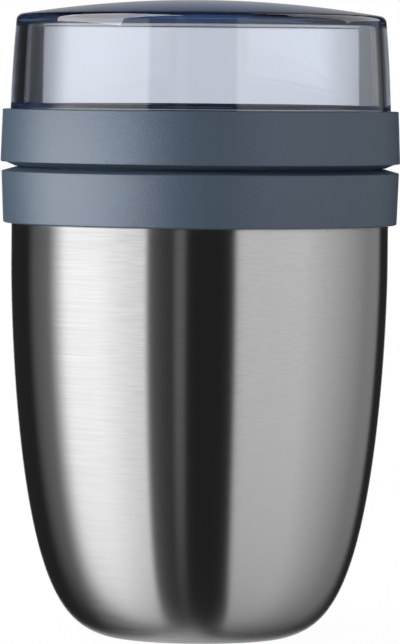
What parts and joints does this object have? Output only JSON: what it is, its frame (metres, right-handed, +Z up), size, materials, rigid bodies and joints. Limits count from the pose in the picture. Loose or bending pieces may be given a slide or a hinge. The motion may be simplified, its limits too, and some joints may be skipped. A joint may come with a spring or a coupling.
{
  "type": "insulated lunch pot",
  "caption": "Brushed steel double-walled lunch pot with a slate plastic collar, a screw lid that forms a tray and a clear snack bowl screwed upside down on top.",
  "frame": {"origin": "on the table, under the middle of the foot", "axes": "+Z up along the axis of the pot"},
  "size_m": [0.107, 0.107, 0.17],
  "materials": {
    "brushed_steel": "brushed round the axis",
    "liner_steel": "satin, turned",
    "solder": "dull",
    "slate_plastic": "fine spark-eroded texture",
    "silicone": "satin",
    "foam": "cut foam",
    "clear_plastic": "polished, clear"
  },
  "bodies": {
    "pot": {"outer_shell": "brushed_steel", "inner_liner": "liner_steel", "base_cap": "brushed_steel", "vacuum_seal": "solder", "getter": "solder", "collar_ring": "slate_plastic", "collar_gasket": "silicone"},
    "pot_seal_ring": {"pot_seal": "silicone"},
    "lid": {"lid_plug": "slate_plastic", "lid_insulation": "foam", "lid_tray": "slate_plastic"},
    "bowl_seal_ring": {"bowl_seal": "silicone"},
    "bowl": {"snack_bowl": "clear_plastic"}
  },
  "joints": [
    {"name": "lid_rise", "type": "slide", "parent": "pot", "child": "pot_seal_ring", "axis": [0, 0, 1], "range_m": [0, 0.0641]},
    {"name": "lid_turn", "type": "hinge", "parent": "pot_seal_ring", "child": "lid", "pos_m": [0, 0, 0.1254], "axis": [0, 0, 1], "range_deg": [0, 1440]},
    {"name": "bowl_turn", "type": "hinge", "parent": "lid", "child": "bowl_seal_ring", "pos_m": [0, 0, 0.1406], "axis": [0, 0, 1], "range_deg": [0, 1080]},
    {"name": "bowl_rise", "type": "slide", "parent": "bowl_seal_ring", "child": "bowl", "axis": [0, 0, 1], "range_m": [0, 0.0481]}
  ],
  "couplings": [
    {"joint": "lid_rise", "follows": "lid_turn", "m_per_rad": 0.0025465},
    {"joint": "bowl_rise", "follows": "bowl_turn", "m_per_rad": 0.0025465}
  ]
}
